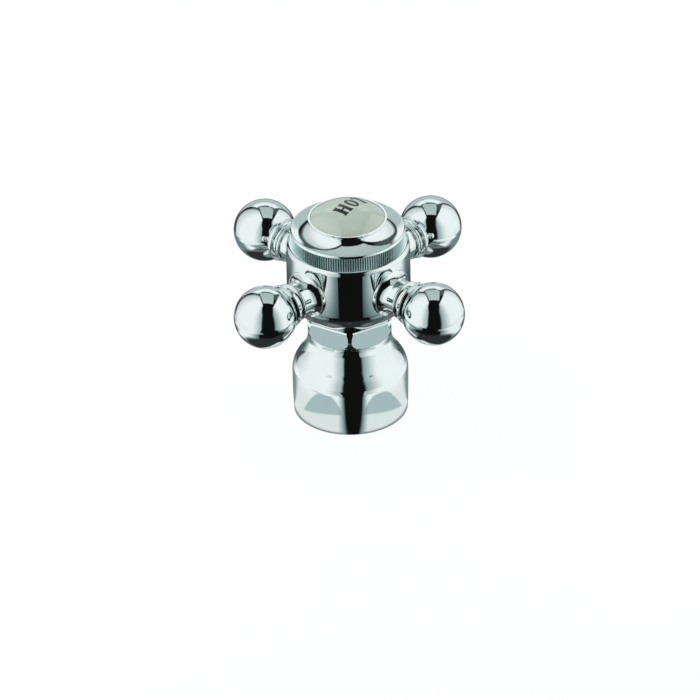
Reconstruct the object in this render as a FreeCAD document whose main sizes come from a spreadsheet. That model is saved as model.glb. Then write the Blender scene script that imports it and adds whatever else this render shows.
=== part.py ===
import FreeCAD, Part

import math
import os

import Sketcher

# A cross-head tap handle: a turned hub with a hexagonal neck, four ball-ended arms, a knurled cap
# with a domed porcelain disc, and a hollow bell skirt. Z is the spindle axis, and the bell stands
# on z = 0. The arms lie along X and Y.

doc = FreeCAD.newDocument("tap_handle")

# Driving dimensions in millimetres, angles in degrees. Heights are measured from the bell's foot.
DIMENSIONS = [
    # Bell skirt
    ("bell_radius", 15.0),
    ("bell_foot_radius", 14.75),
    ("bell_shoulder_height", 11.4),
    ("bell_shoulder_curve", 7.0),
    ("bell_top_radius", 10.75),
    ("bell_top_height", 23.0),
    ("bell_top_round", 0.25),
    ("bell_wall", 1.6),
    # Hexagonal neck under the hub
    ("neck_across_flats", 21.6),
    ("neck_turn", 15.0),
    ("neck_foot_radius", 10.35),
    ("neck_belly_radius", 12.2),
    ("neck_belly_height", 26.1),
    ("neck_head_radius", 11.9),
    ("neck_head_height", 28.9),
    ("neck_bevel_height", 0.4),
    ("neck_bevel_angle", 20.0),
    ("neck_sides", 6),
    # Hub
    ("hub_radius", 15.95),
    ("hub_wall_foot_height", 36.4),
    ("hub_lower_edge_radius", 15.5),
    ("hub_lower_edge_height", 33.0),
    ("hub_cone_radius", 10.2),
    ("hub_cone_height", 28.6),
    ("hub_top_height", 49.6),
    ("hub_top_round", 1.3),
    ("hub_spigot_radius", 8.6),
    ("hub_recess_radius", 9.8),
    ("hub_recess_height", 44.0),
    ("bush_pocket_height", 37.0),
    ("screw_hole_radius", 2.75),
    # Arms, measured outwards from the spindle axis
    ("arm_count", 4),
    ("arm_height", 40.4),
    ("arm_seat", 13.9),
    ("arm_spigot_radius", 3.0),
    ("arm_spigot_length", 3.6),
    ("arm_root_radius", 6.25),
    ("arm_root_round", 0.2),
    ("flare_place", 15.8),
    ("arm_neck_place", 18.8),
    ("arm_neck_radius", 4.75),
    ("arm_neck_end_place", 20.1),
    ("arm_neck_end_radius", 4.65),
    ("arm_groove_radius", 4.25),
    ("bead_place", 20.5),
    ("bead_width", 0.8),
    ("bead_base_radius", 4.95),
    ("bead_curve", 0.42),
    ("cove_curve", 0.9),
    ("disc_place", 22.7),
    ("disc_thickness", 0.85),
    ("disc_radius", 5.75),
    ("disc_edge_round", 0.2),
    ("disc_back_radius", 5.0),
    ("ball_root_radius", 4.9),
    ("ball_radius", 8.09),
    ("ball_place", 30.34),
    # Index cap and its disc
    ("cap_radius", 14.86),
    ("cap_edge_round", 0.6),
    ("cap_flange_height", 53.8),
    ("cap_cove_curve", 8.1),
    ("cap_cove_centre_radius", 16.1),
    ("cap_lip_radius", 10.2),
    ("cap_lip_width", 0.55),
    ("cap_lip_height", 56.8),
    ("cap_pocket_height", 54.6),
    ("cap_spigot_length", 3.9),
    ("cap_hollow_radius", 7.4),
    ("cap_hollow_height", 52.4),
    ("knurl_count", 144),
    ("knurl_depth", 0.3),
    ("knurl_width", 0.6),
    ("index_rim_height", 56.7),
    ("index_dome_rise", 3.7),
    # Fixing screw, washer, bush and ring
    ("screw_radius", 2.45),
    ("screw_tip_height", 30.4),
    ("screw_head_radius", 4.2),
    ("screw_head_height", 3.2),
    ("screw_head_round", 0.6),
    ("screw_slot_width", 1.2),
    ("screw_slot_depth", 1.6),
    ("washer_radius", 5.2),
    ("washer_thickness", 0.8),
    ("bush_radius", 6.0),
    ("bush_bottom_height", 14.5),
    ("bush_end_wall", 7.0),
    ("spindle_radius", 4.0),
    ("ring_section_radius", 0.65),
    ("ring_height", 47.6),
    # Clearances between pieces that fit together
    ("spigot_clearance", 0.05),
    ("seat_clearance", 0.06),
    ("bush_clearance", 0.02),
    ("index_clearance", 0.05),
    ("cap_clearance", 0.1),
    ("ring_clearance", 0.04),
]

sheet = doc.addObject("Spreadsheet::Sheet", "Sizes")
for row, (alias, number) in enumerate(DIMENSIONS, start=1):
    sheet.set("A%d" % row, alias)
    sheet.set("B%d" % row, str(number))
    sheet.setAlias("B%d" % row, alias)
doc.recompute()


class Size:
    """A number together with the formula that ties it to the sheet."""

    def __init__(self, value, formula):
        self.value = value
        self.formula = formula

    def __add__(self, other):
        other = as_size(other)
        return Size(self.value + other.value, "(%s + %s)" % (self.formula, other.formula))

    def __sub__(self, other):
        other = as_size(other)
        return Size(self.value - other.value, "(%s - %s)" % (self.formula, other.formula))

    def __mul__(self, other):
        other = as_size(other)
        return Size(self.value * other.value, "(%s * %s)" % (self.formula, other.formula))

    def __truediv__(self, other):
        other = as_size(other)
        return Size(self.value / other.value, "(%s / %s)" % (self.formula, other.formula))


def as_size(number):
    if isinstance(number, Size):
        return number
    return Size(float(number), repr(float(number)))


def square_root(size):
    return Size(math.sqrt(size.value), "sqrt(%s)" % size.formula)


def dim(alias):
    return Size(float(sheet.get(alias)), "Sizes." + alias)


def sagitta_radius(half_chord, rise):
    """Radius of the arc that rises by `rise` over `half_chord` from its own tangent."""
    return (half_chord * half_chord + rise * rise) / (rise * 2)


def bind(thing, path, size):
    thing.setExpression(path, as_size(size).formula)


def origin_plane(body, role):
    return [feature for feature in body.Origin.OriginFeatures if feature.Role == role][0]


def new_body(label):
    body = doc.addObject("PartDesign::Body", label + "_body")
    body.Label = label
    return body


def new_sketch(body, name, role, offset=None):
    """A sketch on one of the body's own planes, moved along that plane's normal by `offset`."""
    sketch = body.newObject("Sketcher::SketchObject", name)
    sketch.AttachmentSupport = [(origin_plane(body, role), "")]
    sketch.MapMode = "FlatFace"
    if offset is not None:
        bind(sketch, "AttachmentOffset.Base.z", offset)
    return sketch


def arc_between(start, end, radius, centre_on_left):
    """The shorter arc from start to end. Returns the arc and which of its ends is the start."""
    chord = end - start
    half = chord.Length / 2
    reach = math.sqrt(max(radius * radius - half * half, 0.0))
    left = FreeCAD.Vector(-chord.y, chord.x, 0).normalize()
    centre = (start + end) / 2 + left * (reach if centre_on_left else -reach)
    first, last = (start, end) if centre_on_left else (end, start)
    begin = math.atan2(first.y - centre.y, first.x - centre.x)
    finish = math.atan2(last.y - centre.y, last.x - centre.x)
    circle = Part.Circle(centre, FreeCAD.Vector(0, 0, 1), radius)
    return Part.ArcOfCircle(circle, begin, finish), (1 if centre_on_left else 2)


def pin_point(sketch, geometry, end, coordinate, size, name):
    """Holds one coordinate of a sketch point at `size` from the sketch's origin."""
    if size.value == 0:
        # Sketch geometry -2 is the vertical axis, -1 the horizontal one.
        axis = -2 if coordinate == "X" else -1
        sketch.addConstraint(Sketcher.Constraint("PointOnObject", geometry, end, axis))
        return
    # Point 1 of geometry -1 is the sketch's origin.
    ends = (-1, 1, geometry, end)
    if size.value < 0:
        ends = (geometry, end, -1, 1)
        size = as_size(0) - size
    index = sketch.addConstraint(Sketcher.Constraint("Distance" + coordinate, *ends, size.value))
    sketch.renameConstraint(index, name)
    bind(sketch, "Constraints." + name, size)


def closed_profile(sketch, corners):
    """Draws a closed outline. A corner is (x, y) before a straight side, or (x, y, radius, side)
    before an arc whose centre lies on that side of the way along: "left" or "right"."""
    points = [FreeCAD.Vector(as_size(corner[0]).value, as_size(corner[1]).value, 0) for corner in corners]
    starts = []
    for number, corner in enumerate(corners):
        start = points[number]
        end = points[(number + 1) % len(points)]
        if len(corner) == 2:
            starts.append((sketch.addGeometry(Part.LineSegment(start, end)), 1))
            continue
        arc, start_end = arc_between(start, end, corner[2].value, corner[3] == "left")
        geometry = sketch.addGeometry(arc)
        starts.append((geometry, start_end))
        index = sketch.addConstraint(Sketcher.Constraint("Radius", geometry, corner[2].value))
        sketch.renameConstraint(index, "radius%d" % number)
        bind(sketch, "Constraints.radius%d" % number, corner[2])
    for number, corner in enumerate(corners):
        geometry, start_end = starts[number]
        next_geometry, next_start = starts[(number + 1) % len(corners)]
        sketch.addConstraint(
            Sketcher.Constraint("Coincident", geometry, 3 - start_end, next_geometry, next_start))
        pin_point(sketch, geometry, start_end, "X", as_size(corner[0]), "x%d" % number)
        pin_point(sketch, geometry, start_end, "Y", as_size(corner[1]), "y%d" % number)


def circle_at(sketch, height, radius):
    """A circle on the sketch's vertical axis."""
    centre = FreeCAD.Vector(0, height.value, 0)
    circle = sketch.addGeometry(Part.Circle(centre, FreeCAD.Vector(0, 0, 1), radius.value))
    index = sketch.addConstraint(Sketcher.Constraint("Radius", circle, radius.value))
    sketch.renameConstraint(index, "radius")
    bind(sketch, "Constraints.radius", radius)
    pin_point(sketch, circle, 3, "X", as_size(0), "x")
    pin_point(sketch, circle, 3, "Y", height, "y")


def turned(body, name, corners, axis="V_Axis"):
    """A solid of revolution about one axis of its profile sketch."""
    sketch = new_sketch(body, name + "_profile", "XZ_Plane")
    closed_profile(sketch, corners)
    solid = body.newObject("PartDesign::Revolution", name + "_turned")
    solid.Profile = sketch
    solid.ReferenceAxis = (sketch, [axis])
    solid.Angle = 360
    sketch.Visibility = False
    return solid


def pocket_outwards(body, name, sketch, length=None):
    """A cut along the sketch's normal, right through or over `length`."""
    cut = body.newObject("PartDesign::Pocket", name)
    cut.Profile = sketch
    cut.Reversed = True
    cut.Type = "Length" if length is not None else "ThroughAll"
    if length is not None:
        bind(cut, "Length", length)
    return cut


def polar_pattern(body, name, features, count):
    """Repeats features of the body evenly about its Z axis."""
    pattern = body.newObject("PartDesign::PolarPattern", name)
    pattern.Originals = features
    pattern.Axis = (origin_plane(body, "Z_Axis"), [""])
    pattern.Angle = 360
    bind(pattern, "Occurrences", count)
    body.Tip = pattern
    return pattern


def make_bell_skirt():
    """Hollow bell: a slightly barrelled wall, a round shoulder and a hollow flare, all tangent."""
    body = new_body("bell_skirt")
    radius = dim("bell_radius")
    foot = dim("bell_foot_radius")
    shoulder = dim("bell_shoulder_height")
    wall = dim("bell_wall")
    top_height = dim("bell_top_height")
    top_round = dim("bell_top_round")
    flare_height = top_height - top_round
    flare_radius = dim("bell_top_radius")
    # The shoulder and the flare turn by the same angle and meet on the chord between their ends.
    inset = radius - flare_radius
    rise = flare_height - shoulder
    both_curves = (inset * inset + rise * rise) / (inset * 2)
    outer_curve = dim("bell_shoulder_curve")
    share = outer_curve / both_curves
    barrel = sagitta_radius(shoulder, radius - foot)
    bore = dim("hub_spigot_radius") + dim("spigot_clearance")
    turned(body, "bell", [
        (foot - wall, 0),
        (foot, 0, barrel, "left"),
        (radius, shoulder, outer_curve, "left"),
        (radius - inset * share, shoulder + rise * share, both_curves - outer_curve, "right"),
        (flare_radius, flare_height, top_round, "left"),
        (flare_radius - top_round, top_height),
        (bore, top_height),
        (bore, flare_height - wall),
        (flare_radius - wall, flare_height - wall),
        (flare_radius - wall, flare_height, both_curves - outer_curve + wall, "left"),
        (radius - wall - inset * share, shoulder + rise * share, outer_curve - wall, "right"),
        (radius - wall, shoulder),
    ])
    return body


def make_hub():
    """Turned hub with a coned underside and four counterbored arm seats, on a hexagonal neck."""
    body = new_body("hub_turned")
    top = dim("hub_top_height")
    edge = dim("hub_top_round")
    radius = dim("hub_radius")
    lower_edge = dim("hub_lower_edge_radius")
    lower_height = dim("hub_lower_edge_height")
    wall_foot = dim("hub_wall_foot_height")
    pocket = dim("bush_radius") + dim("bush_clearance")
    pocket_height = dim("bush_pocket_height")
    spigot_foot = dim("bell_top_height") - dim("bell_wall")
    turned(body, "hub", [
        (pocket, spigot_foot),
        (dim("hub_spigot_radius"), spigot_foot),
        (dim("hub_spigot_radius"), dim("hub_cone_height")),
        (dim("hub_cone_radius"), dim("hub_cone_height")),
        (lower_edge, lower_height, sagitta_radius(wall_foot - lower_height, radius - lower_edge), "left"),
        (radius, wall_foot),
        (radius, top - edge, edge, "left"),
        (radius - edge, top),
        (dim("hub_recess_radius"), top),
        (dim("hub_recess_radius"), dim("hub_recess_height")),
        (dim("screw_hole_radius"), dim("hub_recess_height")),
        (dim("screw_hole_radius"), pocket_height),
        (pocket, pocket_height),
    ])
    seat = new_sketch(body, "arm_seat_circle", "YZ_Plane", dim("arm_seat"))
    circle_at(seat, dim("arm_height"), dim("arm_root_radius") + dim("seat_clearance"))
    seat_cut = pocket_outwards(body, "arm_seat", seat)
    hole_floor = dim("arm_seat") - dim("arm_spigot_length") - dim("seat_clearance")
    hole = new_sketch(body, "arm_hole_circle", "YZ_Plane", hole_floor)
    circle_at(hole, dim("arm_height"), dim("arm_spigot_radius") + dim("seat_clearance"))
    hole_cut = pocket_outwards(body, "arm_hole", hole)
    polar_pattern(body, "arm_seats", [seat_cut, hole_cut], dim("arm_count"))

    hexagon = doc.addObject("Part::Fuse", "neck_hexagon")
    hexagon.Base = make_neck_prism()
    hexagon.Tool = make_neck_bevel()
    hexagon.Refine = True
    neck = doc.addObject("Part::Common", "neck")
    neck.Base = hexagon
    neck.Tool = make_neck_barrel()
    hub = doc.addObject("Part::Fuse", "hub")
    hub.Base = body
    hub.Tool = neck
    hub.Refine = True
    hub.Label = "hub"
    return hub


def make_neck_prism():
    """Six flats, with one corner midway between two arms."""
    prism = doc.addObject("Part::Prism", "neck_prism")
    place_hexagon(prism, dim("bell_top_height"))
    bind(prism, "Height", dim("neck_head_height") - dim("neck_bevel_height") - dim("bell_top_height"))
    return prism


def make_neck_bevel():
    """The bevel that leads from the flats in under the hub."""
    outline = doc.addObject("Part::RegularPolygon", "neck_outline")
    place_hexagon(outline, dim("neck_head_height") - dim("neck_bevel_height"))
    bevel = doc.addObject("Part::Extrusion", "neck_bevel")
    bevel.Base = outline
    bevel.DirMode = "Custom"
    bevel.Dir = FreeCAD.Vector(0, 0, 1)
    bevel.Solid = True
    bind(bevel, "LengthFwd", dim("neck_bevel_height"))
    bind(bevel, "TaperAngle", as_size(0) - dim("neck_bevel_angle"))
    outline.Visibility = False
    return bevel


def place_hexagon(thing, height):
    """Sets a polygon's size over its flats, its height and its turn about the spindle axis."""
    bind(thing, "Polygon", dim("neck_sides"))
    half_flats = dim("neck_across_flats") / 2
    thing.setExpression("Circumradius", half_flats.formula + " / cos(180 deg / Sizes.neck_sides)")
    bind(thing, "Placement.Base.z", height)
    thing.Placement.Rotation = FreeCAD.Rotation(FreeCAD.Vector(0, 0, 1), dim("neck_turn").value)
    thing.setExpression("Placement.Rotation.Angle", "Sizes.neck_turn")


def make_neck_barrel():
    """The turned form that rounds off the hexagon's corners above and below."""
    body = new_body("neck_barrel")
    foot = dim("neck_foot_radius")
    foot_height = dim("bell_top_height")
    belly = dim("neck_belly_radius")
    belly_height = dim("neck_belly_height")
    head = dim("neck_head_radius")
    head_height = dim("neck_head_height")
    inner = dim("bush_radius") + dim("bush_clearance")
    turned(body, "neck_barrel", [
        (inner, foot_height),
        (foot, foot_height, sagitta_radius(belly_height - foot_height, belly - foot), "left"),
        (belly, belly_height, sagitta_radius(head_height - belly_height, belly - head), "left"),
        (head, head_height),
        (inner, head_height),
    ])
    return body


def make_arm(label, angle):
    """One turned arm along its own X axis: spigot, flared root, neck, bead, disc and ball."""
    body = new_body(label)
    seat = dim("arm_seat")
    spigot_end = seat - dim("arm_spigot_length")
    root = dim("arm_root_radius")
    root_round = dim("arm_root_round")
    flare_place = dim("flare_place")
    neck_place = dim("arm_neck_place")
    neck = dim("arm_neck_radius")
    neck_end = dim("arm_neck_end_place")
    groove = dim("arm_groove_radius")
    bead_place = dim("bead_place")
    bead_base = dim("bead_base_radius")
    disc_place = dim("disc_place")
    disc_end = disc_place + dim("disc_thickness")
    disc = dim("disc_radius")
    disc_round = dim("disc_edge_round")
    ball = dim("ball_radius")
    ball_root = dim("ball_root_radius")
    ball_start = dim("ball_place") - square_root(ball * ball - ball_root * ball_root)
    # The flare runs out tangent to the neck.
    flare = sagitta_radius(neck_place - flare_place, root - root_round - neck)
    turned(body, label, [
        (spigot_end, 0),
        (spigot_end, dim("arm_spigot_radius")),
        (seat, dim("arm_spigot_radius")),
        (seat, root),
        (flare_place - root_round, root, root_round, "right"),
        (flare_place, root - root_round, flare, "left"),
        (neck_place, neck),
        (neck_end, dim("arm_neck_end_radius")),
        (neck_end, groove),
        (bead_place, groove),
        (bead_place, bead_base, dim("bead_curve"), "right"),
        (bead_place + dim("bead_width"), bead_base, dim("cove_curve"), "left"),
        (disc_place, dim("disc_back_radius")),
        (disc_place, disc - disc_round, disc_round, "right"),
        (disc_place + disc_round, disc),
        (disc_end - disc_round, disc, disc_round, "right"),
        (disc_end, disc - disc_round),
        (disc_end, ball_root),
        (ball_start, ball_root, ball, "right"),
        (dim("ball_place") + ball, 0),
    ], axis="H_Axis")
    body.Placement.Rotation = FreeCAD.Rotation(FreeCAD.Vector(0, 0, 1), angle)
    bind(body, "Placement.Base.z", dim("arm_height"))
    return body


def make_index_cap():
    """Screw-in cap: spigot with a ring groove, knurled flange, hollow cove and a lip for the disc."""
    body = new_body("index_cap")
    seat = dim("hub_top_height")
    spigot = dim("hub_recess_radius") - dim("cap_clearance")
    spigot_foot = seat - dim("cap_spigot_length")
    hollow = dim("cap_hollow_radius")
    lip = dim("cap_lip_radius")
    lip_inner = lip - dim("cap_lip_width")
    flange = dim("cap_flange_height")
    edge = dim("cap_edge_round")
    flat_edge = dim("cap_radius") - edge
    cove = dim("cap_cove_curve")
    near_reach = dim("cap_cove_centre_radius") - flat_edge
    far_reach = dim("cap_cove_centre_radius") - lip
    cove_centre = flange + square_root(cove * cove - near_reach * near_reach)
    cove_top = cove_centre - square_root(cove * cove - far_reach * far_reach)
    half_groove = dim("ring_section_radius") + dim("ring_clearance")
    groove_floor = spigot - half_groove * 2
    turned(body, "cap", [
        (hollow, spigot_foot),
        (spigot, spigot_foot),
        (spigot, dim("ring_height") - half_groove),
        (groove_floor, dim("ring_height") - half_groove),
        (groove_floor, dim("ring_height") + half_groove),
        (spigot, dim("ring_height") + half_groove),
        (spigot, seat),
        (dim("cap_radius"), seat),
        (dim("cap_radius"), flange - edge, edge, "left"),
        (flat_edge, flange, cove, "right"),
        (lip, cove_top),
        (lip, dim("cap_lip_height")),
        (lip_inner, dim("cap_lip_height")),
        (lip_inner, dim("cap_pocket_height")),
        (0, dim("cap_pocket_height")),
        (0, dim("cap_hollow_height")),
        (hollow, dim("cap_hollow_height")),
    ])
    # One V groove of the knurl, repeated round the flange.
    notch = new_sketch(body, "knurl_notch", "XY_Plane", seat)
    depth = dim("knurl_depth")
    half_width = dim("knurl_width") / 2
    outside = dim("cap_radius") + depth
    closed_profile(notch, [
        (dim("cap_radius") - depth, 0),
        (outside, as_size(0) - half_width * 2),
        (outside, half_width * 2),
    ])
    cut = pocket_outwards(body, "knurl_groove", notch, flange - edge - seat)
    polar_pattern(body, "knurl", [cut], dim("knurl_count"))
    return body


def make_index_disc():
    """Porcelain disc with a domed face."""
    body = new_body("index_disc")
    radius = dim("cap_lip_radius") - dim("cap_lip_width") - dim("index_clearance")
    rim = dim("index_rim_height")
    rise = dim("index_dome_rise")
    turned(body, "index_disc", [
        (0, dim("cap_pocket_height")),
        (radius, dim("cap_pocket_height")),
        (radius, rim, sagitta_radius(radius, rise), "left"),
        (0, rim + rise),
    ])
    return body


def make_fixing_screw():
    """Slotted cheese-head screw that draws the handle down on the spindle."""
    body = new_body("fixing_screw")
    head_foot = dim("hub_recess_height") + dim("washer_thickness")
    head_top = head_foot + dim("screw_head_height")
    head = dim("screw_head_radius")
    edge = dim("screw_head_round")
    turned(body, "screw", [
        (0, dim("screw_tip_height")),
        (dim("screw_radius"), dim("screw_tip_height")),
        (dim("screw_radius"), head_foot),
        (head, head_foot),
        (head, head_top - edge, edge, "left"),
        (head - edge, head_top),
        (0, head_top),
    ])
    slot = new_sketch(body, "slot_outline", "XY_Plane", head_top - dim("screw_slot_depth"))
    half = dim("screw_slot_width") / 2
    closed_profile(slot, [
        (as_size(0) - head * 2, as_size(0) - half),
        (head * 2, as_size(0) - half),
        (head * 2, half),
        (as_size(0) - head * 2, half),
    ])
    body.Tip = pocket_outwards(body, "slot", slot)
    return body


def make_screw_washer():
    body = new_body("screw_washer")
    seat = dim("hub_recess_height")
    turned(body, "washer", [
        (dim("screw_hole_radius"), seat),
        (dim("washer_radius"), seat),
        (dim("washer_radius"), seat + dim("washer_thickness")),
        (dim("screw_hole_radius"), seat + dim("washer_thickness")),
    ])
    return body


def make_spindle_bush():
    """Brass bush with a blind socket for the spindle and a hole for the fixing screw."""
    body = new_body("spindle_bush")
    top = dim("bush_pocket_height")
    socket_top = top - dim("bush_end_wall")
    turned(body, "bush", [
        (dim("spindle_radius"), dim("bush_bottom_height")),
        (dim("bush_radius"), dim("bush_bottom_height")),
        (dim("bush_radius"), top),
        (dim("screw_hole_radius"), top),
        (dim("screw_hole_radius"), socket_top),
        (dim("spindle_radius"), socket_top),
    ])
    return body


def make_cap_oring():
    ring = doc.addObject("Part::Torus", "cap_oring")
    ring.Label = "cap_oring"
    spigot = dim("hub_recess_radius") - dim("cap_clearance")
    bind(ring, "Radius1", spigot - dim("ring_section_radius") - dim("ring_clearance"))
    bind(ring, "Radius2", dim("ring_section_radius"))
    bind(ring, "Placement.Base.z", dim("ring_height"))
    return ring


ARMS = ["arm_right", "arm_back", "arm_left", "arm_front"]

pieces = [
    make_bell_skirt(),
    make_hub(),
    make_index_cap(),
    make_index_disc(),
    make_fixing_screw(),
    make_screw_washer(),
    make_spindle_bush(),
    make_cap_oring(),
]
for place, arm_label in enumerate(ARMS):
    pieces.append(make_arm(arm_label, 360 / len(ARMS) * place))

doc.recompute()

for thing in doc.Objects:
    if "Invalid" in thing.State or "Error" in thing.State:
        raise RuntimeError("%s did not build: %s" % (thing.Label, thing.State))
for piece in pieces:
    if piece.Shape.isNull() or not piece.Shape.isValid():
        raise RuntimeError("%s has no valid solid" % piece.Label)

os.makedirs("parts", exist_ok=True)
for piece in pieces:
    piece.Shape.exportStep("parts/%s.step" % piece.Label)
    print("%-14s %d solid, %9.2f mm3" % (piece.Label, len(piece.Shape.Solids), piece.Shape.Volume))
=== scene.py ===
import math

import bmesh
import bpy
from mathutils import Matrix, Vector


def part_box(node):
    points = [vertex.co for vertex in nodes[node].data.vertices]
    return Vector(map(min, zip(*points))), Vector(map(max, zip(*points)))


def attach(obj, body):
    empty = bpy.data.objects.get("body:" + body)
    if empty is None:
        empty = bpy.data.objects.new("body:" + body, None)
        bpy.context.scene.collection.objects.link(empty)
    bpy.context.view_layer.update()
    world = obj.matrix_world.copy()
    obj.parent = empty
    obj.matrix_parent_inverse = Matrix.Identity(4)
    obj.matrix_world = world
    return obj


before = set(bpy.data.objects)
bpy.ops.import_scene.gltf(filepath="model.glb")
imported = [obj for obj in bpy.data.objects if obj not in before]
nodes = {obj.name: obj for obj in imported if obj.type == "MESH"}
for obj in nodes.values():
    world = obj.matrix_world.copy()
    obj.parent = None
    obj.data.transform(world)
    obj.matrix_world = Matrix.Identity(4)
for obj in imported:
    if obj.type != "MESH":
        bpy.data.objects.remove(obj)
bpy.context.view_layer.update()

scene = bpy.context.scene
MM = 0.001
DEGREE = math.degrees(1)

# The photograph looks down at 32 degrees, midway between the front and the right arm.
VIEW_AZIMUTH = math.radians(45)
VIEW_ELEVATION = math.radians(32)
VIEW_ROLL = math.radians(1.1)
VIEW_DISTANCE = 2.6
VIEW_LIMIT = 50
VIEW_TARGET = Vector((0, 0, 0.0166))
SENSOR_WIDTH = 36
PIXELS_PER_METRE = 3870
PHOTO_WIDTH = 700

TOWARDS_CAMERA = Vector((math.sin(VIEW_AZIMUTH), -math.cos(VIEW_AZIMUTH), 0))
SCREEN_RIGHT = Vector((math.cos(VIEW_AZIMUTH), math.sin(VIEW_AZIMUTH), 0))

# The cap's knurled rim and the index's dome, taken from the frame.
cap_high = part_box("index_cap")[1]
KNURL_DEPTH = 0.32 * MM
KNURL_CREST = cap_high[0]
KNURL_FOOT = KNURL_CREST - KNURL_DEPTH
KNURL_TOP = 53.2 * MM
KNURL_SIDE_BLEND = 0.03 * MM
KNURL_TOP_BLEND = 0.05 * MM

disc_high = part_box("index_disc")[1]
DOME_TOP = disc_high[2]
DOME_EDGE = disc_high[0]
DOME_RISE = 3.7 * MM
DOME_RADIUS = (DOME_EDGE ** 2 + DOME_RISE ** 2) / (2 * DOME_RISE)


class Nodes:
    """Short calls for building one node tree."""

    def __init__(self, tree):
        self.tree = tree
        tree.nodes.clear()

    def add(self, kind, **settings):
        node = self.tree.nodes.new(kind)
        for name, value in settings.items():
            setattr(node, name, value)
        return node

    def link(self, source, target):
        self.tree.links.new(source, target)

    def feed(self, socket, value):
        if isinstance(value, bpy.types.NodeSocket):
            self.link(value, socket)
        else:
            socket.default_value = value

    def math(self, operation, first, second=None):
        node = self.add("ShaderNodeMath", operation=operation)
        self.feed(node.inputs[0], first)
        if second is not None:
            self.feed(node.inputs[1], second)
        return node.outputs[0]

    def plus(self, first, second):
        return self.math("ADD", first, second)

    def minus(self, first, second):
        return self.math("SUBTRACT", first, second)

    def divided(self, first, second):
        return self.math("DIVIDE", first, second)

    def larger(self, first, second):
        return self.math("MAXIMUM", first, second)

    def product(self, *values):
        total = values[0]
        for value in values[1:]:
            total = self.math("MULTIPLY", total, value)
        return total

    def distance(self, first, second):
        """The length of a line with these two legs."""
        return self.math("SQRT", self.plus(self.product(first, first), self.product(second, second)))

    def dot(self, vector, direction):
        node = self.add("ShaderNodeVectorMath", operation="DOT_PRODUCT")
        self.link(vector, node.inputs[0])
        node.inputs[1].default_value = direction
        return node.outputs["Value"]

    def ramp(self, value, start, end, low=0.0, high=1.0):
        """Goes smoothly from low at start to high at end."""
        node = self.add("ShaderNodeMapRange", interpolation_type="SMOOTHSTEP")
        self.feed(node.inputs["Value"], value)
        node.inputs["From Min"].default_value = start
        node.inputs["From Max"].default_value = end
        node.inputs["To Min"].default_value = low
        node.inputs["To Max"].default_value = high
        return node.outputs["Result"]

    def window(self, value, low, high, soft):
        """1 between low and high, fading to 0 over `soft` each side."""
        return self.product(self.ramp(value, low - soft / 2, low + soft / 2),
                            self.ramp(value, high + soft / 2, high - soft / 2))

    def mix(self, factor, first, second):
        """From first at 0 to second at 1, for colours and for plain values."""
        node = self.add("ShaderNodeMix", data_type="RGBA")
        self.feed(node.inputs["Factor"], factor)
        self.feed(node.inputs["A"], first)
        self.feed(node.inputs["B"], second)
        return node.outputs["Result"]

    def noise(self, vector, scale):
        node = self.add("ShaderNodeTexNoise")
        self.link(vector, node.inputs["Vector"])
        node.inputs["Scale"].default_value = scale
        node.inputs["Detail"].default_value = 3.0
        return node.outputs["Fac"]

    def place(self):
        return self.add("ShaderNodeTexCoord").outputs["Object"]

    def surface(self, shader):
        output = self.add("ShaderNodeOutputMaterial")
        self.link(shader.outputs[0], output.inputs["Surface"])

    def principled(self):
        shader = self.add("ShaderNodeBsdfPrincipled")
        self.surface(shader)
        return shader

    def shine(self, colour):
        """Makes the surface give light of this colour."""
        light = self.add("ShaderNodeEmission")
        self.link(colour, light.inputs["Color"])
        self.surface(light)


def grey(level, tint=(1.0, 1.0, 1.0)):
    return (level * tint[0], level * tint[1], level * tint[2], 1.0)


def new_material(name):
    material = bpy.data.materials.new(name)
    material.use_nodes = True
    return material, Nodes(material.node_tree)


def mesh_data(name, mesh):
    """Turns a finished bmesh into mesh data."""
    data = bpy.data.meshes.new(name)
    mesh.to_mesh(data)
    mesh.free()
    return data


def add_object(name, data, material):
    data.materials.append(material)
    item = bpy.data.objects.new(name, data)
    scene.collection.objects.link(item)
    return item


# Materials of the handle. Each varies a little from place to place.
CHROME_DARK = (0.77, 0.84, 0.84, 1)
CHROME_LIGHT = (0.83, 0.89, 0.885, 1)
# The knurl's grooves get a painted shade colour; the crests stay light.
GROOVE_PAINTED_SHADE = (0.19, 0.29, 0.29, 1)
CREST = (0.76, 0.97, 0.97, 1)
KNURL_ROUGHNESS = 0.32


def chrome_material(name, knurled=False):
    """Polished plate with a cool tint and a faint polishing haze. A knurled rim is duller, with painted
    shade in its grooves.
    """
    material, tree = new_material(name)
    shader = tree.principled()
    place = tree.place()
    haze = tree.noise(place, 160.0)
    colour = tree.mix(haze, CHROME_DARK, CHROME_LIGHT)
    roughness = tree.ramp(haze, 0.3, 0.7, 0.03, 0.06)
    if knurled:
        parts = tree.add("ShaderNodeSeparateXYZ")
        tree.link(place, parts.inputs[0])
        reach = tree.distance(parts.outputs[0], parts.outputs[1])
        rim = tree.product(tree.ramp(reach, KNURL_FOOT - KNURL_SIDE_BLEND, KNURL_FOOT),
                           tree.ramp(parts.outputs[2], KNURL_TOP + KNURL_TOP_BLEND, KNURL_TOP))
        # Painted shade: the bottoms of the grooves are coloured darker than the crests.
        depth = tree.ramp(reach, KNURL_FOOT, KNURL_CREST)
        colour = tree.mix(rim, colour, tree.mix(depth, GROOVE_PAINTED_SHADE, CREST))
        roughness = tree.plus(roughness, tree.product(rim, KNURL_ROUGHNESS))
    tree.link(colour, shader.inputs["Base Color"])
    tree.link(roughness, shader.inputs["Roughness"])
    shader.inputs["Metallic"].default_value = 1.0
    return material


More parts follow.
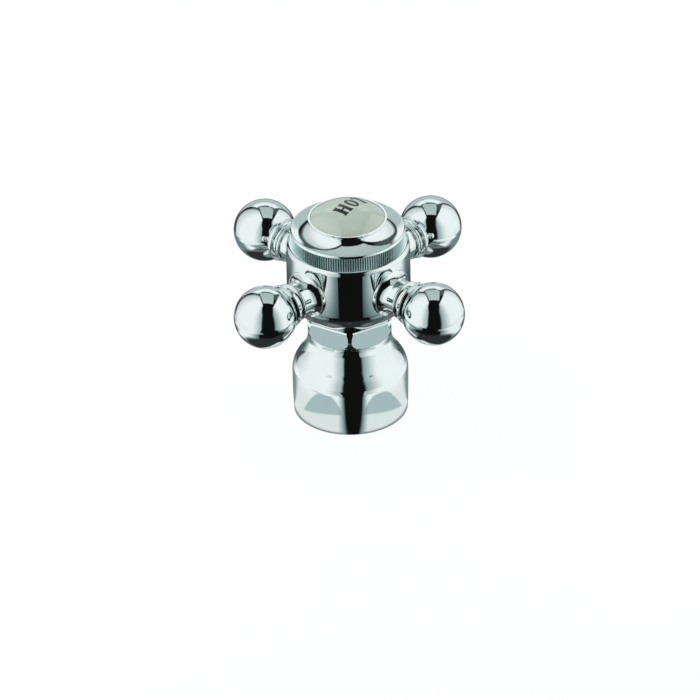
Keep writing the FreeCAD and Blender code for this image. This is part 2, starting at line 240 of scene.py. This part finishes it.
def porcelain_material():
    """Glazed off-white ware with a little mottle under the glaze."""
    material, tree = new_material("porcelain")
    shader = tree.principled()
    mottle = tree.noise(tree.place(), 420.0)
    colour = tree.mix(mottle, (0.745, 0.855, 0.705, 1), (0.805, 0.90, 0.785, 1))
    tree.link(colour, shader.inputs["Base Color"])
    tree.link(tree.ramp(mottle, 0.2, 0.8, 0.10, 0.16), shader.inputs["Roughness"])
    shader.inputs["Coat Weight"].default_value = 0.5
    shader.inputs["Coat Roughness"].default_value = 0.04
    return material


def metal_material(name, dark, light, smoothest, roughest, marks_scale):
    """Machined bare metal with fine turning marks round the spindle axis."""
    material, tree = new_material(name)
    shader = tree.principled()
    place = tree.place()
    marks = tree.add("ShaderNodeTexWave", wave_type="BANDS", bands_direction="Z")
    marks.inputs["Scale"].default_value = marks_scale
    marks.inputs["Distortion"].default_value = 1.5
    tree.link(place, marks.inputs["Vector"])
    tree.link(tree.mix(marks.outputs["Fac"], dark, light), shader.inputs["Base Color"])
    roughness = tree.ramp(tree.noise(place, 300.0), 0.3, 0.7, smoothest, roughest)
    tree.link(roughness, shader.inputs["Roughness"])
    shader.inputs["Metallic"].default_value = 1.0
    return material


def speckled_material(name, dark, light, smoothest, roughest, speck_scale):
    """A dull dark material with fine specks."""
    material, tree = new_material(name)
    shader = tree.principled()
    speck = tree.noise(tree.place(), speck_scale)
    tree.link(tree.mix(speck, dark, light), shader.inputs["Base Color"])
    tree.link(tree.ramp(speck, 0.3, 0.7, smoothest, roughest), shader.inputs["Roughness"])
    return material


def dress(node, material):
    mesh = nodes[node].data
    mesh.materials.clear()
    mesh.materials.append(material)


def dress_all():
    dress("hub", chrome_material("chrome_hub"))
    dress("bell_skirt", chrome_material("chrome_bell"))
    dress("index_cap", chrome_material("chrome_cap", knurled=True))
    chrome_arm = chrome_material("chrome_arm")
    for arm in ("arm_front", "arm_right", "arm_back", "arm_left"):
        dress(arm, chrome_arm)
    dress("index_disc", porcelain_material())
    dress("cap_oring", speckled_material(
        "ring_rubber", (0.012, 0.012, 0.012, 1), (0.03, 0.03, 0.03, 1), 0.45, 0.65, 900.0))
    steel = metal_material(
        "screw_steel", (0.42, 0.42, 0.41, 1), (0.58, 0.58, 0.56, 1), 0.22, 0.38, 900.0)
    dress("fixing_screw", steel)
    dress("screw_washer", steel)
    dress("spindle_bush", metal_material(
        "bush_brass", (0.60, 0.42, 0.16, 1), (0.78, 0.58, 0.26, 1), 0.18, 0.32, 700.0))


dress_all()


# The word on the index is laid on the dome, read along a line turned 53 degrees from the screen's
# right. The letters' own sizes are in millimetres, measured from each letter's middle.
WORD_TURN = math.radians(53)
WORD_CENTRE = SCREEN_RIGHT * (1.1 * MM) - TOWARDS_CAMERA * (1.27 * MM)
INK_PROUD = 0.02 * MM
LETTER_TOP = 2.15
SERIF = 0.4


def dome_height(x, y):
    drop = DOME_RADIUS - math.sqrt(DOME_RADIUS ** 2 - x * x - y * y)
    return min(DOME_TOP - drop + INK_PROUD, DOME_TOP)


def stroke(mesh, outline_low, outline_high, to_dome, across=3, along=12):
    """A ribbon between two lines given as functions of 0 to 1, laid on the dome."""
    rows = []
    for step in range(along + 1):
        share = step / along
        low = Vector(outline_low(share))
        high = Vector(outline_high(share))
        points = [low.lerp(high, part / across) for part in range(across + 1)]
        rows.append([mesh.verts.new(to_dome(point)) for point in points])
    for near, far in zip(rows, rows[1:]):
        for part in range(across):
            mesh.faces.new((near[part], near[part + 1], far[part + 1], far[part]))


def bar(mesh, to_dome, left, bottom, right, top):
    def edge(height):
        return lambda share: (left + (right - left) * share, height)
    stroke(mesh, edge(bottom), edge(top), to_dome, across=12)


def letter_h(mesh, to_dome):
    stem_place = 0.98
    stem = 0.54
    foot = 0.72
    for side in (-stem_place, stem_place):
        bar(mesh, to_dome, side - stem, -LETTER_TOP, side + stem, LETTER_TOP)
        for end in (-LETTER_TOP, LETTER_TOP - SERIF):
            bar(mesh, to_dome, side - foot, end, side + foot, end + SERIF)
    bar(mesh, to_dome, -0.7, -0.25, 0.7, 0.25)


def letter_o(mesh, to_dome):
    def ring(width, height):
        return lambda share: (width * math.cos(share * math.tau), height * math.sin(share * math.tau))
    stroke(mesh, ring(0.46, 1.55), ring(1.4, 2.2), to_dome, along=40)


def letter_t(mesh, to_dome):
    stem = 0.52
    foot = 0.8
    arm = 1.45
    bar(mesh, to_dome, -stem, -LETTER_TOP, stem, LETTER_TOP)
    bar(mesh, to_dome, -foot, -LETTER_TOP, foot, SERIF - LETTER_TOP)
    bar(mesh, to_dome, -arm, 1.7, arm, LETTER_TOP)
    for side in (-arm, arm - SERIF):
        bar(mesh, to_dome, side, 1.0, side + SERIF, LETTER_TOP)


def make_word():
    along = SCREEN_RIGHT * math.cos(WORD_TURN) - TOWARDS_CAMERA * math.sin(WORD_TURN)
    upward = Vector((-along.y, along.x, 0))
    mesh = bmesh.new()
    for place, letter in ((-3.65, letter_h), (0.0, letter_o), (3.3, letter_t)):
        def to_dome(point, place=place):
            flat = WORD_CENTRE + along * ((point[0] + place) * MM) + upward * (point[1] * MM)
            return (flat.x, flat.y, dome_height(flat.x, flat.y))
        letter(mesh, to_dome)
    bmesh.ops.recalc_face_normals(mesh, faces=mesh.faces)
    data = mesh_data("index_word", mesh)
    for polygon in data.polygons:
        polygon.use_smooth = True
    ink = speckled_material(
        "index_ink", (0.008, 0.010, 0.009, 1), (0.03, 0.035, 0.03, 1), 0.15, 0.3, 1500.0)
    word = add_object("index_word", data, ink)
    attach(word, "root")


make_word()


# A small light tent stands round the object: bright panels with dark seams between, and a dark gap on the
# camera's side.
# Below it, a glowing disc stands for the table: a painted reflection with painted light and shadows. The
# polished metal shows both, and the camera does not.
TENT_RADIUS = 0.34
TENT_CENTRE = Vector((0, 0, 0.04))
TABLE_RADIUS = 0.11
TABLE_DROP = 0.01 * MM
FLOOR_DROP = 0.02 * MM
FLOOR_REACH = 6.0
FLOOR_GLOW = 0.88
COOL = (0.965, 1.0, 0.995)
TEAL = (0.70, 1.0, 1.02)
DARK = grey(0.006, COOL)
FULL_LIGHT = 1.04


def lit_panel(tree, level):
    """The colour of a panel at that share of its full light: the shaded parts are cooler."""
    full = tree.mix(tree.ramp(level, 0.25, 0.85), grey(FULL_LIGHT, TEAL), grey(FULL_LIGHT, COOL))
    return tree.mix(level, grey(0.0), full)


class TentPlace:
    """Where a point of the tent lies, seen from its centre.

    Turn runs from the camera's side to the screen's right and lift runs upward, both in degrees.
    The over_ values are places on a flat ceiling one unit above the centre."""

    def __init__(self, tree):
        unit = tree.add("ShaderNodeVectorMath", operation="NORMALIZE")
        tree.link(tree.place(), unit.inputs[0])
        ahead = tree.dot(unit.outputs[0], TOWARDS_CAMERA)
        side = tree.dot(unit.outputs[0], SCREEN_RIGHT)
        self.up = tree.dot(unit.outputs[0], (0, 0, 1))
        self.turn = tree.product(tree.math("ARCTAN2", side, ahead), DEGREE)
        self.lift = tree.product(tree.math("ARCSINE", self.up), DEGREE)
        self.behind = tree.math("ABSOLUTE", self.turn)
        above = tree.larger(self.up, 0.05)
        self.over_ahead = tree.divided(ahead, above)
        self.over_side = tree.divided(side, above)
        # Dark seams run slanting beside the overhead panel.
        self.left_seam = tree.minus(self.over_side, tree.product(self.over_ahead, 0.21))
        self.right_seam = tree.plus(self.over_side, tree.product(self.over_ahead, 0.25))
        # The gap on the camera's side opens wider high up.
        self.opening = tree.ramp(self.lift, 30, 66)


def unlit_tent(tree, at):
    """Dark, but grey high up behind and dim low down behind."""
    high_back = tree.product(tree.ramp(at.behind, 100, 125), tree.ramp(at.lift, 28, 40))
    colour = tree.mix(high_back, DARK, grey(0.10, TEAL))
    low_back = tree.product(tree.ramp(at.behind, 126, 148), tree.ramp(at.lift, 6, -10))
    return tree.mix(low_back, colour, grey(0.09, COOL))


def left_panel(tree, at):
    front = tree.plus(at.turn, tree.product(at.opening, 12.0))
    front = tree.plus(front, tree.ramp(at.lift, -10, -26, 0.0, 6.0))
    back = tree.plus(at.turn, tree.ramp(at.lift, 5, -20, 0.0, -9.0))
    mask = tree.product(tree.ramp(back, -144, -134), tree.ramp(front, -13, -19),
                        tree.ramp(at.left_seam, -0.24, -0.30))
    level = tree.product(tree.ramp(at.lift, -60, -10, 0.55, 1.0),
                         tree.ramp(at.turn, -140, -95, 0.66, 1.0),
                         tree.ramp(at.turn, -14, -48, 0.5, 1.0))
    return mask, lit_panel(tree, level)


def right_panel(tree, at):
    front = tree.minus(at.turn, tree.product(at.opening, 18.0))
    back = tree.plus(at.turn, tree.ramp(at.lift, 5, -20, 0.0, 6.0))
    mask = tree.product(tree.ramp(front, 25, 33), tree.ramp(back, 147, 139),
                        tree.ramp(at.right_seam, 0.56, 0.64))
    level = tree.product(tree.ramp(at.turn, 24, 70, 0.36, 1.0),
                         tree.ramp(at.lift, -60, -5, 0.5, 1.0),
                         tree.ramp(at.turn, 155, 110, 0.7, 1.0))
    return mask, lit_panel(tree, level)


def back_panel(tree, at):
    mask = tree.product(tree.ramp(at.behind, 147, 151), tree.window(at.lift, -10, 45, 6))
    return mask, lit_panel(tree, tree.ramp(at.lift, 20, 33, 0.56, 1.0))


def overhead_panel(tree, at):
    """Reaches from just before the object to well behind it."""
    mask = tree.product(tree.window(at.over_ahead, -0.78, 0.19, 0.06),
                        tree.ramp(at.left_seam, -0.22, -0.18),
                        tree.ramp(at.over_side, 0.44, 0.40), tree.ramp(at.up, 0.3, 0.4))
    front = grey(0.62, (0.86, 1.0, 0.98))
    back = grey(0.56, (0.84, 1.0, 1.0))
    return mask, tree.mix(tree.ramp(at.over_ahead, 0.2, -0.6), front, back)


def tent_material():
    material, tree = new_material("tent")
    at = TentPlace(tree)
    colour = unlit_tent(tree, at)
    for panel in (left_panel, right_panel, back_panel, overhead_panel):
        mask, light = panel(tree, at)
        colour = tree.mix(mask, colour, light)
    tree.shine(colour)
    return material


def make_tent():
    mesh = bmesh.new()
    bmesh.ops.create_uvsphere(mesh, u_segments=96, v_segments=48, radius=TENT_RADIUS)
    tent = add_object("tent", mesh_data("tent", mesh), tent_material())
    tent.location = TENT_CENTRE
    tent.visible_camera = False
    tent.visible_shadow = False


class TablePlace:
    """Where a point of the table lies, in millimetres, and how it is looked at.

    Facing is 0 where the table is looked straight down on, and 1 along its surface."""

    def __init__(self, tree):
        place = tree.place()
        self.ahead = tree.divided(tree.dot(place, TOWARDS_CAMERA), MM)
        self.side = tree.divided(tree.dot(place, SCREEN_RIGHT), MM)
        length = tree.add("ShaderNodeVectorMath", operation="LENGTH")
        tree.link(place, length.inputs[0])
        self.reach = tree.divided(length.outputs["Value"], MM)
        weight = tree.add("ShaderNodeLayerWeight")
        weight.inputs["Blend"].default_value = 0.5
        self.facing = weight.outputs["Facing"]
        self.grazing = tree.ramp(self.facing, 0.54, 0.62)
        self.from_above = tree.ramp(self.facing, 0.58, 0.52)
        self.slanting = tree.product(tree.ramp(self.facing, 0.40, 0.46), tree.ramp(self.facing, 0.62, 0.52))
        self.steeper = tree.product(tree.ramp(self.facing, 0.34, 0.40), tree.ramp(self.facing, 0.46, 0.42))


def table_colour(tree, at):
    """Pale but greyer near the bell, with a painted shadow round the bell's foot and grey patches of
    painted shade in front.
    """
    def patch(across, along, inner, outer):
        """1 inside a round patch centred at that distance across and towards the camera."""
        far = tree.distance(tree.minus(at.side, across), tree.minus(at.ahead, along))
        return tree.ramp(far, outer, inner)

    # Painted shade: the table is greyer close round the bell.
    colour = tree.mix(tree.ramp(at.reach, 23, 34), grey(0.88, COOL), grey(1.03, COOL))
    # Painted shadow: a thin dark line round the bell's foot.
    colour = tree.mix(tree.ramp(at.reach, 16.0, 15.0, 0.0, 0.75), colour, grey(0.10, TEAL))
    # Painted shade of the arms and balls: the bell shows two of the patches as half-moons, and the neck's
    # flats show the other two.
    half_moon_shadows = tree.larger(patch(-14.0, 16.6, 10.6, 11.8), patch(14.8, 14.8, 10.9, 12.1))
    half_moon_shadows = tree.product(half_moon_shadows, tree.minus(1.0, patch(0.0, 6.0, 17.3, 18.4)))
    neck_flat_shadows = tree.larger(patch(-41.0, 28.0, 13.0, 18.0), patch(39.0, 33.5, 13.0, 18.0))
    painted_shadows = tree.larger(half_moon_shadows, tree.product(neck_flat_shadows, at.from_above))
    return tree.mix(painted_shadows, colour, grey(0.57, (0.80, 1.0, 1.01)))


def outside_gap(tree, at):
    """How far a point lies outside the dark gap on the camera's side, in millimetres."""
    gap_start = 9.0
    pivot = 15.0
    bend = 32.0
    past_pivot = tree.minus(at.ahead, pivot)
    past_bend = tree.larger(tree.minus(at.ahead, bend), 0.0)
    left = tree.minus(tree.product(past_pivot, -0.275), tree.plus(at.side, 1.2))
    left = tree.minus(left, tree.product(past_bend, 0.15))
    right = tree.minus(tree.minus(at.side, 2.1), tree.product(past_pivot, 0.5))
    outside = tree.larger(tree.larger(left, right), tree.minus(gap_start, at.ahead))
    # Looked down on, as the front balls see it, the gap opens in front of each ball.
    ball_place = 21.0
    past_ball = tree.minus(at.ahead, ball_place)
    off_ball = tree.minus(tree.math("ABSOLUTE", at.side), ball_place)
    outer_edge = tree.minus(off_ball, tree.product(past_ball, 0.46))
    inner_edge = tree.minus(tree.product(past_ball, -0.72), off_ball)
    from_ball = tree.product(tree.ramp(at.facing, 0.43, 0.39), tree.ramp(at.reach, 38, 46))
    return tree.mix(from_ball, outside, tree.larger(outer_edge, inner_edge))


def table_light(tree, at):
    """The share of the table's full light."""
    outside = outside_gap(tree, at)
    # The light falls off towards the gap, over a broader strip further out.
    strip = tree.ramp(at.reach, 40, 60, 0.2, 0.55)
    spread = tree.divided(outside, at.reach)
    near_gap = tree.ramp(tree.divided(spread, strip), -0.15, 1.0, 0.14, 1.0)
    near_gap = tree.mix(at.grazing, near_gap, tree.ramp(spread, 0.0, 0.56, 0.5, 1.0))
    # Behind the handle it is dim, though less so far out where it is seen at a slant.
    rear = tree.plus(at.ahead, tree.product(at.slanting, tree.ramp(at.reach, 66, 76), 27.0))
    far_rear = tree.ramp(tree.divided(at.ahead, at.reach), -0.45, -0.85, 1.0, 0.10)
    far_dim = tree.mix(at.grazing, tree.ramp(rear, 6, -24, 1.0, 0.26), far_rear)
    far_dim = tree.larger(far_dim, tree.ramp(at.reach, 40, 32))
    # It is dim beside and behind the bell's foot too, which darkens the bell's outline.
    off_foot = tree.larger(tree.minus(at.reach, 14.0), 0.5)
    limb = tree.ramp(tree.divided(at.ahead, off_foot), -0.1, -0.9, 1.0, 0.3)
    near_dim = tree.larger(limb, tree.ramp(at.reach, 32, 40))
    # Seen at a slant, a dim ring lies some way out.
    ring = tree.larger(tree.product(at.slanting, tree.ramp(at.reach, 57, 60)),
                       tree.product(at.steeper, tree.ramp(at.reach, 74, 66), tree.ramp(at.reach, 49, 53)))
    off_ring = tree.minus(1.0, tree.product(ring, tree.ramp(at.reach, 66, 92, 0.75, 0.0)))
    return tree.product(tree.ramp(outside, -0.6, 0.6), near_gap, far_dim, near_dim, off_ring)


def table_material():
    """A painted reflection of the table near the handle: a glowing disc with painted light and shadows,
    which only reflections show.
    """
    material, tree = new_material("table_painted_reflection")
    at = TablePlace(tree)
    pale = table_colour(tree, at)
    light = table_light(tree, at)
    # The shaded parts are cooler.
    shaded = tree.mix(0.85, pale, grey(0.95, TEAL))
    colour = tree.mix(light, DARK, tree.mix(tree.ramp(light, 0.25, 0.85), shaded, pale))
    # Painted shade: it is dark where it is looked down on steeply, away from the bell's foot.
    less_steep = tree.product(tree.ramp(at.facing, 0.44, 0.30, 0.0, 0.85), tree.ramp(at.reach, 56, 48))
    steep = tree.larger(tree.ramp(at.facing, 0.26, 0.13), less_steep)
    steep = tree.product(steep, tree.ramp(at.reach, 22, 27))
    tree.shine(tree.mix(steep, colour, grey(0.032, (0.85, 1.0, 1.0))))
    return material


def make_table():
    mesh = bmesh.new()
    bmesh.ops.create_circle(mesh, cap_ends=True, segments=96, radius=TABLE_RADIUS)
    # The disc only glows as a painted reflection: it is hidden from the camera, from diffuse light and from
    # shadows.
    table_painted_reflection = add_object("table_painted_reflection", mesh_data("table_painted_reflection", mesh), table_material())
    table_painted_reflection.location.z = -TABLE_DROP
    table_painted_reflection.visible_camera = False
    table_painted_reflection.visible_diffuse = False
    table_painted_reflection.visible_shadow = False


def make_floor():
    """Plain pale floor that keeps a soft shadow. The metal shows the tent and the table instead."""
    material, tree = new_material("floor")
    matt = tree.add("ShaderNodeBsdfDiffuse")
    tree.link(tree.mix(tree.noise(tree.place(), 8.0), grey(0.20), grey(0.22)), matt.inputs["Color"])
    glow = tree.add("ShaderNodeEmission")
    glow.inputs["Strength"].default_value = FLOOR_GLOW
    both = tree.add("ShaderNodeAddShader")
    tree.link(matt.outputs[0], both.inputs[0])
    tree.link(glow.outputs[0], both.inputs[1])
    tree.surface(both)
    corners = [(x * FLOOR_REACH, y * FLOOR_REACH, 0) for x, y in ((-1, -1), (1, -1), (1, 1), (-1, 1))]
    data = bpy.data.meshes.new("floor")
    data.from_pydata(corners, [], [(0, 1, 2, 3)])
    floor = add_object("floor", data, material)
    floor.location.z = -FLOOR_DROP
    floor.visible_glossy = False


def make_world():
    world = bpy.data.worlds.new("studio")
    world.use_nodes = True
    tree = Nodes(world.node_tree)
    background = tree.add("ShaderNodeBackground")
    background.inputs["Color"].default_value = grey(1.0)
    output = tree.add("ShaderNodeOutputWorld")
    tree.link(background.outputs[0], output.inputs["Surface"])
    scene.world = world


def make_camera():
    toward = TOWARDS_CAMERA * math.cos(VIEW_ELEVATION) + Vector((0, 0, math.sin(VIEW_ELEVATION)))
    above = toward.cross(SCREEN_RIGHT)
    turned_right = SCREEN_RIGHT * math.cos(VIEW_ROLL) - above * math.sin(VIEW_ROLL)
    turned_above = above * math.cos(VIEW_ROLL) + SCREEN_RIGHT * math.sin(VIEW_ROLL)
    camera_data = bpy.data.cameras.new("camera")
    camera_data.sensor_width = SENSOR_WIDTH
    camera_data.lens = SENSOR_WIDTH * PIXELS_PER_METRE * VIEW_DISTANCE / PHOTO_WIDTH
    camera_data.clip_end = VIEW_LIMIT
    camera = bpy.data.objects.new("camera", camera_data)
    basis = Matrix((turned_right, turned_above, toward)).transposed().to_4x4()
    basis.translation = VIEW_TARGET + toward * VIEW_DISTANCE
    camera.matrix_world = basis
    scene.collection.objects.link(camera)
    scene.camera = camera


make_tent()
make_table()
make_floor()
make_world()
make_camera()
scene.view_settings.view_transform = "Standard"
